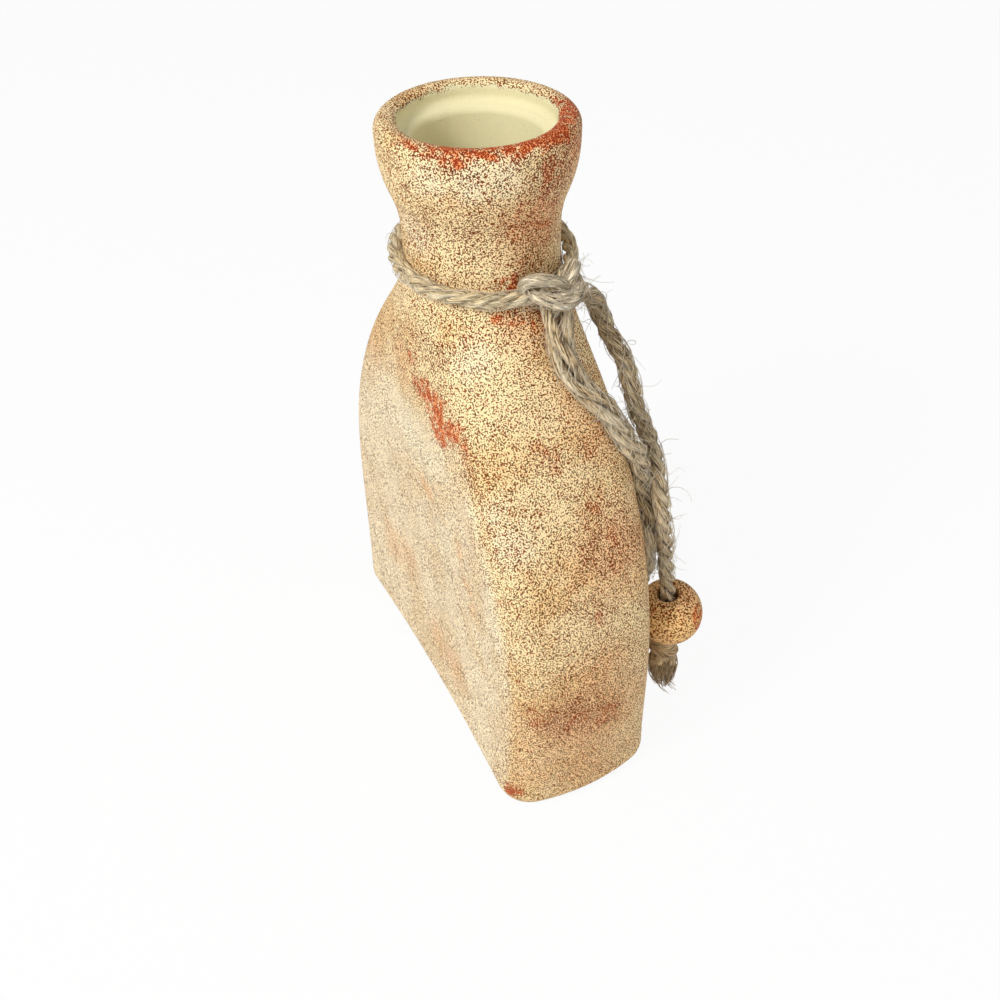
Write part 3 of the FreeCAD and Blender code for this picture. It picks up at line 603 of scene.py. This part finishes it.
# Two directions square to a line at each of its points, that turn as little as
# they can along it.
def frames_along(line):
    tangents = []
    for index in range(len(line)):
        before = line[max(index - 1, 0)]
        after = line[min(index + 1, len(line) - 1)]
        tangents.append((after - before).normalized())
    side = tangents[0].cross(UP)
    if side.length < 0.1:
        side = tangents[0].cross(Vector((1, 0, 0)))
    side.normalize()
    frames = []
    for index, tangent in enumerate(tangents):
        if index:
            side = tangents[index - 1].rotation_difference(tangent) @ side
            side = (side - tangent * side.dot(tangent)).normalized()
        frames.append((side.copy(), tangent.cross(side)))
    return frames


# Direction square to a line, at an angle round it.
def spoke(square, angle):
    side, over = square
    return side * math.cos(angle) + over * math.sin(angle)


# A tube along a line, with its own radius at each point, closed at both ends.
# Its map holds the turn round the tube and the length along it.
def add_tube(shape, chart, line, radius_at, sides, ripple=None, start=0.0):
    rings = []
    heights = []
    reached = start
    for index, (point, (side, over)) in enumerate(zip(line, frames_along(line))):
        if index:
            reached += (point - line[index - 1]).length
        heights.append(reached)
        radius = radius_at(index / (len(line) - 1))
        ring = []
        for k in range(sides):
            turn = math.tau * k / sides
            reach = radius * (ripple(turn, reached) if ripple else 1.0)
            spot = point + side * math.cos(turn) * reach + over * math.sin(turn) * reach
            ring.append(shape.verts.new(spot))
        rings.append(ring)
    for low in range(len(rings) - 1):
        high = low + 1
        for k in range(sides):
            after = (k + 1) % sides
            face = shape.faces.new((rings[low][k], rings[low][after], rings[high][after], rings[high][k]))
            face.smooth = True
            turns = (k / sides, (k + 1) / sides, (k + 1) / sides, k / sides)
            spots = (heights[low], heights[low], heights[high], heights[high])
            for loop, turn, spot in zip(face.loops, turns, spots):
                loop[chart].uv = (turn, spot)
    for ring, spot in ((rings[0][::-1], heights[0]), (rings[-1], heights[-1])):
        for loop in shape.faces.new(ring).loops:
            loop[chart].uv = (0.5, spot)


def new_piece(name, finish, body, build):
    mesh = bpy.data.meshes.new(name)
    shape = bmesh.new()
    chart = shape.loops.layers.uv.new("fibre")
    build(shape, chart)
    bmesh.ops.recalc_face_normals(shape, faces=shape.faces)
    shape.to_mesh(mesh)
    shape.free()
    piece = bpy.data.objects.new(name, mesh)
    bpy.context.collection.objects.link(piece)
    mesh.materials.append(finish)
    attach(piece, body)
    return piece


# The vase's own surface, for the twine to lie on.
VASE = bpy.data.objects["vase_body"]
WALL = BVHTree.FromPolygons([vertex.co for vertex in VASE.data.vertices],
                            [face.vertices[:] for face in VASE.data.polygons])


# Twine that touches the glaze is pressed flat against it.
def on_the_wall(point, gap=TWINE_GAP):
    spot, normal, _, _ = WALL.find_nearest(point, WALL_REACH)
    if spot is None:
        return point
    out = (point - spot).dot(normal)
    return point if out >= gap else spot + normal * gap


def press_on_the_wall(shape):
    for vertex in shape.verts:
        vertex.co = on_the_wall(vertex.co)


# Lines of the plies of a twine, wound round its own line and wavering a little.
# A flattened twine is wide across one direction only.
def ply_lines(line, twist_at, offset_at, wide_at, seed):
    chance = random.Random(seed)
    waver = [(chance.uniform(0, math.tau), chance.uniform(0.8, 1.2)) for _ in range(PLIES)]
    plies = [[] for _ in range(PLIES)]
    turn = 0.0
    for index, (point, (side, over)) in enumerate(zip(line, frames_along(line))):
        share = index / (len(line) - 1)
        if index:
            turn -= math.tau * (point - line[index - 1]).length / twist_at(share)
        wide = wide_at(share)
        for k, ply in enumerate(plies):
            phase, pace = waver[k]
            leaning = PLY_LEAN * math.sin(phase + PLY_LEAN_PACE * pace * turn / math.tau)
            lean = turn + k * math.tau / PLIES + leaning
            swaying = PLY_SWAY * math.sin(phase + PLY_SWAY_PACE * pace * turn / math.tau)
            reach = offset_at(share) * (1 + swaying)
            ply.append(point + side * math.cos(lean) * reach * wide + over * math.sin(lean) * reach)
    return plies


# Fibres make the ply's outline uneven.
def fibre_ripple(seed, depth=1.0):
    chance = random.Random(seed)
    waves = [(chance.randint(*RIPPLES_ROUND), chance.uniform(*RIPPLES_ALONG) * chance.choice((-1, 1)),
              chance.uniform(0, math.tau), chance.uniform(*RIPPLE_DEPTHS)) for _ in range(RIPPLES)]

    def ripple(turn, reached):
        return 1.0 + depth * sum(deep * math.sin(count * turn + pace * reached + phase)
                                 for count, pace, phase, deep in waves)
    return ripple


# Offset, radius, twist and width are functions of the share of the twine's length.
def twine(name, line, finish, body, seed, offset, radius,
          twist=lambda share: PLY_PITCH, wide=lambda share: 1.0):
    def build(shape, chart):
        for k, ply in enumerate(ply_lines(line, twist, offset, wide, seed)):
            add_tube(shape, chart, ply, radius, PLY_SIDES, fibre_ripple(seed * 10 + k), start=k * 0.31)
        press_on_the_wall(shape)
    return new_piece(name, finish, body, build)


# A thin curled hair that starts on the twine and strays from it.
def stray_path(chance, line, frames, long, reach):
    index = min(int(chance.random() * (len(line) - 1)), len(line) - 2)
    ahead = (line[index + 1] - line[index]).normalized()
    out = spoke(frames[index], chance.uniform(0, math.tau))
    path = [line[index] + out * reach * MM * chance.uniform(0.75, 1.0)]
    lean = ahead * chance.choice((-1, 1)) * chance.uniform(0.5, 1.3)
    lift = out * chance.uniform(0.05, 0.65)
    sway = Vector([chance.uniform(-0.4, 0.4) for _ in range(3)])
    heading = (lean + lift + sway).normalized()
    curl_axis = Vector([chance.uniform(-1, 1) for _ in range(3)]).normalized()
    curl = chance.uniform(-HAIR_CURL, HAIR_CURL)
    stretch = long * MM * chance.uniform(0.35, 1.0) ** 1.8
    for _ in range(HAIR_STEPS):
        heading = (Quaternion(curl_axis, curl) @ heading).normalized()
        heading = (heading - UP * HAIR_SAG).normalized()
        path.append(path[-1] + heading * stretch / HAIR_STEPS)
    return [on_the_wall(spot, HAIR_GAP) for spot in path]


# A fibre that has come loose but still lies along the twine.
def lying_path(chance, line, frames, reach):
    first = chance.randrange(0, len(line) - 12)
    last = min(first + chance.randrange(16, 60), len(line) - 1)
    turn = chance.uniform(0, math.tau)
    drift = chance.uniform(-0.09, 0.13)
    wave = chance.uniform(0.1, 0.35)
    phase = chance.uniform(0, math.tau)
    lift = chance.uniform(0.86, 1.06)
    path = []
    for index in range(first, last, 2):
        run = index - first
        off = reach * MM * (lift + wave * 0.5 * math.sin(phase + 0.16 * run))
        path.append(on_the_wall(line[index] + spoke(frames[index], turn + drift * run) * off))
    return path


# Loose fibres of a line of twine: stray hairs, and some that lie along it.
# Their length and how far from the line they start are in mm.
def hairs(name, line, finish, body, count, seed, long, reach, lying=0):
    chance = random.Random(seed)
    frames = frames_along(line)

    def build(shape, chart):
        for _ in range(count):
            path = stray_path(chance, line, frames, long, reach)
            thick = chance.uniform(*HAIR_THICK) * MM
            add_tube(shape, chart, path, lambda part: thick * (1.0 - 0.6 * part), HAIR_SIDES,
                     start=chance.random())
        for _ in range(lying):
            path = lying_path(chance, line, frames, reach)
            thick = chance.uniform(*LYING_THICK) * MM
            if len(path) > 3:
                add_tube(shape, chart, path, lambda part: thick, LYING_SIDES, start=chance.random())
    return new_piece(name, finish, body, build)


GLAZE = glaze("speckled glaze", RUST_PATCHES, True)
BEAD_GLAZE = glaze("speckled glaze on the bead", BEAD_RUST_PATCHES, False)
JUTE = jute("jute twine", *TWINE_FIBRES)
# The knot's jute is painted lighter and the tails' darker, as light and shade on one twine.
LIT_JUTE_KNOT = jute("jute knot, painted lighter", *LIT_KNOT_FIBRES)
SHADED_JUTE_TAILS = jute("jute tails, painted darker", *SHADED_TAIL_FIBRES)
JUTE_END = jute("jute end", *END_FIBRES)
LOOSE_FIBRE = jute("jute loose fibre", *LOOSE_FIBRES)
for each, finish in (("vase_body", GLAZE), ("bead", BEAD_GLAZE)):
    mesh = bpy.data.objects[each].data
    mesh.materials.clear()
    mesh.materials.append(finish)


def along(turn):
    return Vector((math.cos(turn), math.sin(turn), 0))


# The loop's line: round, lower on the knot's side, a little off the middle.
def loop_point(turn):
    off = (turn - KNOT_TURN + math.pi) % math.tau - math.pi
    dip = KNOT_DIP * math.exp(-(off / KNOT_DIP_SPREAD) ** 2)
    lean = Quaternion(UP.cross(along(LOOP_LOW)), math.atan2(LOOP_DROP, LOOP_RADIUS))
    middle = along(KNOT_TURN) * LOOP_SHIFT + UP * NECK_FOOT
    return middle + lean @ (along(turn) * LOOP_RADIUS) - UP * dip


loop_sweep = math.tau - 2 * LOOP_OPENING
loop_line = even_line([loop_point(KNOT_TURN + LOOP_OPENING + loop_sweep * k / LOOP_SPOTS)
                       for k in range(LOOP_SPOTS + 1)], LINE_STEP)
loop = twine("twine_loop", loop_line, JUTE, "vase", seed=3,
             offset=lambda share: PLY_OFFSET * LOOP_THIN, radius=lambda share: PLY_RADIUS * LOOP_THIN)
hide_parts("neck_loop")
hairs("twine_loop_hairs", loop_line, LOOSE_FIBRE, "vase", count=90, seed=5, long=4.5, reach=2.35, lying=60)


# A wrap of the knot: the twine's fibres side by side, drawn in at both ends to
# a share of its thickness, with loose fibres lying along it.
def knot_wrap(name, spots, thick, seed, ends):
    line = smooth_line([Vector(spot) * MM for spot in spots], WRAP_STEP)
    frames = frames_along(line)
    chance = random.Random(seed)

    def thick_at(share):
        swell = math.sin(math.pi * share) ** 0.7
        low = ends[0] + (ends[1] - ends[0]) * share
        return thick * MM * (low + (1 - low) * swell)

    def fibre_path():
        turn = chance.uniform(0, math.tau)
        drift = chance.uniform(-1.1, 1.1)
        first = chance.uniform(0.0, 0.5)
        last = chance.uniform(first + 0.3, 1.0)
        path = []
        for k in range(WRAP_FIBRE_SPOTS):
            share = first + (last - first) * k / (WRAP_FIBRE_SPOTS - 1)
            index = min(int(share * (len(line) - 1)), len(line) - 1)
            reach = thick_at(index / (len(line) - 1)) + 0.05 * MM
            path.append(line[index] + spoke(frames[index], turn + drift * share) * reach)
        return path

    def build(shape, chart):
        add_tube(shape, chart, line, thick_at, WRAP_SIDES, fibre_ripple(seed * 7, depth=2.2),
                 start=seed * 0.2)
        for _ in range(WRAP_FIBRES):
            path = fibre_path()
            fine = chance.uniform(*WRAP_FIBRE_THICK) * MM
            add_tube(shape, chart, path, lambda part: fine, FIBRE_SIDES, start=chance.random())
        press_on_the_wall(shape)
    return new_piece(name, LIT_JUTE_KNOT, "vase", build)


knot_wrap("knot_upper_wrap", UPPER_WRAP, thick=1.6, seed=2, ends=(0.45, 0.6))
lower = knot_wrap("knot_lower_wrap", LOWER_WRAP, thick=2.1, seed=4, ends=(0.15, 0.5))
knot_wrap("knot_inner_wrap", INNER_WRAP, thick=2.2, seed=6, ends=(0.7, 0.5))
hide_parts("neck_knot")
knot_line = smooth_line([Vector(spot) * MM for spot in LOWER_WRAP])
hairs("knot_hairs", knot_line, LOOSE_FIBRE, "vase", count=120, seed=8, long=12.0, reach=2.1)


# A share that has gone fully over after only a part of the length.
def soon(share, pace):
    return min(share * pace, 1.0)


# The two tails: the long one thins towards the bead, the short one is opened
# and flattened at the knot and twists more tightly towards its end.
long_line = smooth_line(LONG_TAIL)
short_line = smooth_line(SHORT_TAIL)
long_tail = twine("twine_long_tail", long_line, SHADED_JUTE_TAILS, "vase", seed=11,
                  offset=lambda share: PLY_OFFSET * (1.14 - 0.06 * soon(share, 1.3)),
                  radius=lambda share: PLY_RADIUS * (1.12 - 0.20 * soon(share, 1.3)))
short_tail = twine("twine_short_tail", short_line, SHADED_JUTE_TAILS, "vase", seed=17,
                   offset=lambda share: (1.75 - 0.25 * share) * MM,
                   radius=lambda share: (1.85 - 0.38 * soon(share, 5)) * MM,
                   twist=lambda share: (48 - 26 * soon(share, 1.6)) * MM,
                   wide=lambda share: 1.6 - 0.5 * soon(share, 4))
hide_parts("tail_long")
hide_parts("tail_short")
above_the_bead = long_line[:int(len(long_line) * 0.8)]
long_hairs = hairs("twine_long_tail_hairs", above_the_bead, LOOSE_FIBRE, "vase", count=200, seed=21,
                   long=10.0, reach=2.75, lying=110)
short_hairs = hairs("twine_short_tail_hairs", short_line, LOOSE_FIBRE, "vase", count=240, seed=23,
                    long=11.0, reach=3.0, lying=140)


# The stopper knot under the bead: rounded wraps of opened twine, hanging a
# little to one side of the hole, and the fibres of the end in a loose brush.
END = LONG_TAIL[-1]
THREAD = (END - LONG_TAIL[-3]).normalized()
ASIDE = THREAD.cross(Vector((-1.0, 0.0, 0.0))).normalized()
DROP = (THREAD - UP * 1.2).normalized()
ACROSS = DROP.cross(Vector((0.0, 1.0, 0.0))).normalized()
BEHIND = DROP.cross(ACROSS)


# A point under the twine's end, in mm across, behind and down.
def at_end(across, behind, down):
    swing = ASIDE * (STOPPER_ASIDE * min(down / 3.0, 1.0)) if down > 0 else Vector((0, 0, 0))
    return END + (swing + ACROSS * across + BEHIND * behind + DROP * down) * MM


def core_thick(share):
    return (2.6 + 1.5 * math.sin(math.pi * share ** 0.8)) * MM * (1 - 0.6 * share ** 6)


# A fibre of the brush: it bows out and comes in again, and a few have a stray tip.
def brush_path(chance):
    turn = chance.uniform(0, math.tau)
    wide = chance.uniform(0.35, 1.0) ** 0.5
    bow = chance.uniform(-1.2, 1.2)
    tip = chance.uniform(*BRUSH_TIPS)
    sway = chance.uniform(0.15, 0.5)
    path = []
    for k in range(BRUSH_FIBRE_SPOTS):
        share = k / (BRUSH_FIBRE_SPOTS - 1)
        reach = (2.4 + 2.5 * math.sin(math.pi * min(share * 0.86, 1.0))) * wide * (1 - sway * share ** 5)
        angle = turn + bow * share
        path.append(at_end(reach * math.cos(angle), reach * math.sin(angle), 6.0 + (tip - 5.0) * share))
    if chance.random() < STRAY_TIPS:
        tip_hair = path[-1]
        path += [tip_hair + (DROP + Vector((0.0, -0.25, -0.2)) * k) * k * 1.3 * MM for k in (1, 2, 3)]
    return path


def build_stopper(shape, chart):
    for seed, (tilt, low, wide, thick) in enumerate(STOPPER_WRAPS):
        ring = []
        for k in range(WRAP_SPOTS + 1):
            turn = math.tau * k / WRAP_SPOTS + seed
            ring.append(at_end(wide * math.cos(turn), wide * math.sin(turn),
                               low + tilt * wide * math.cos(turn + seed)))
        add_tube(shape, chart, ring, lambda share: thick * MM, STOPPER_SIDES,
                 fibre_ripple(31 + seed, depth=2.0), start=seed * 0.3)
    core = even_line([at_end(0, 0, down) for down in CORE_SPOTS], CORE_STEP)
    add_tube(shape, chart, core, core_thick, CORE_SIDES, fibre_ripple(37, depth=2.0), start=0.5)
    chance = random.Random(33)
    for _ in range(BRUSH_FIBRES):
        path = brush_path(chance)
        thick = chance.uniform(*BRUSH_FIBRE_THICK) * MM
        add_tube(shape, chart, path, lambda part: thick * (1 - 0.5 * part), FIBRE_SIDES,
                 start=chance.random())


stopper = new_piece("stopper_knot", JUTE_END, "vase", build_stopper)
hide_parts("end_knot")


# The photographer's camera: where it stands, and how it is turned, tipped and
# rolled, in degrees.
CAMERA_PLACE = (-0.242725, 0.113012, 0.309371)
CAMERA_TURN = 243.591
CAMERA_TIP = 38.380
CAMERA_ROLL = -1.216
camera_data = bpy.data.cameras.new("camera")
camera_data.sensor_width = 36.0
camera_data.lens = 40.576
camera_data.shift_x = -0.01125
camera_data.shift_y = -0.06319
camera_data.clip_start = 0.01
camera = bpy.data.objects.new("camera", camera_data)
bpy.context.collection.objects.link(camera)
camera.matrix_world = (Matrix.Translation(CAMERA_PLACE)
                       @ Matrix.Rotation(math.radians(CAMERA_TURN), 4, "Z")
                       @ Matrix.Rotation(math.radians(90 - CAMERA_TIP), 4, "X")
                       @ Matrix.Rotation(math.radians(CAMERA_ROLL), 4, "Z"))
bpy.context.scene.camera = camera


# Where the camera looks straight at a surface, or by a mirror or through glass.
def seen_directly(tree):
    light = node(tree, "ShaderNodeLightPath").outputs
    seen = larger(tree, light["Is Camera Ray"], light["Is Glossy Ray"])
    return larger(tree, seen, light["Is Transmission Ray"])


# Pale floor that shows white to the camera and keeps a soft shadow.
def build_floor():
    bpy.ops.object.select_all(action="DESELECT")
    bpy.ops.mesh.primitive_circle_add(vertices=96, radius=3.0, fill_type="NGON", location=(0, 0, -0.2 * MM))
    floor = bpy.context.object
    floor.name = "floor"
    bpy.ops.object.transform_apply(location=True)
    finish, tree, shader = new_finish("pale floor")
    shader.inputs["Base Color"].default_value = FLOOR_GREY
    shader.inputs["Roughness"].default_value = 0.9
    glow = node(tree, "ShaderNodeEmission", None, {"Color": WHITE, "Strength": 1.0})
    mixed = node(tree, "ShaderNodeMixShader", None,
                 {0: times(tree, seen_directly(tree), 0.93), 1: shader.outputs[0], 2: glow.outputs[0]})
    out = next(each for each in tree.nodes if each.type == "OUTPUT_MATERIAL")
    tree.links.new(mixed.outputs[0], out.inputs["Surface"])
    floor.data.materials.append(finish)


# The room: soft warm light on the vase, and white to the camera.
def build_world():
    world = bpy.data.worlds.new("studio")
    bpy.context.scene.world = world
    world.use_nodes = True
    tree = world.node_tree
    tree.nodes.clear()
    soft = node(tree, "ShaderNodeBackground", None, {"Color": WARM_WHITE, "Strength": 0.38})
    white = node(tree, "ShaderNodeBackground", None, {"Color": WHITE, "Strength": 1.0})
    mixed = node(tree, "ShaderNodeMixShader", None,
                 {0: seen_directly(tree), 1: soft.outputs[0], 2: white.outputs[0]})
    node(tree, "ShaderNodeOutputWorld", None, {"Surface": mixed.outputs[0]})


# What the lamps are turned to.
LAMPS_AIM = (0, 0, 0.09)


# A round lamp with its place and width in metres, and its power in watts.
def soft_lamp(name, place, across, power):
    lamp = bpy.data.lights.new(name, "AREA")
    lamp.shape = "DISK"
    lamp.size = across
    lamp.energy = power
    holder = bpy.data.objects.new(name, lamp)
    bpy.context.collection.objects.link(holder)
    aim = (Vector(LAMPS_AIM) - Vector(place)).to_track_quat("-Z", "Y")
    holder.matrix_world = Matrix.Translation(place) @ aim.to_matrix().to_4x4()


build_floor()
build_world()
soft_lamp("main light", (-0.25, 0.85, 0.95), across=0.45, power=11.4)
soft_lamp("fill light", (-0.95, -0.35, 0.6), across=0.9, power=2.4)

bpy.context.scene.view_settings.view_transform = "Standard"
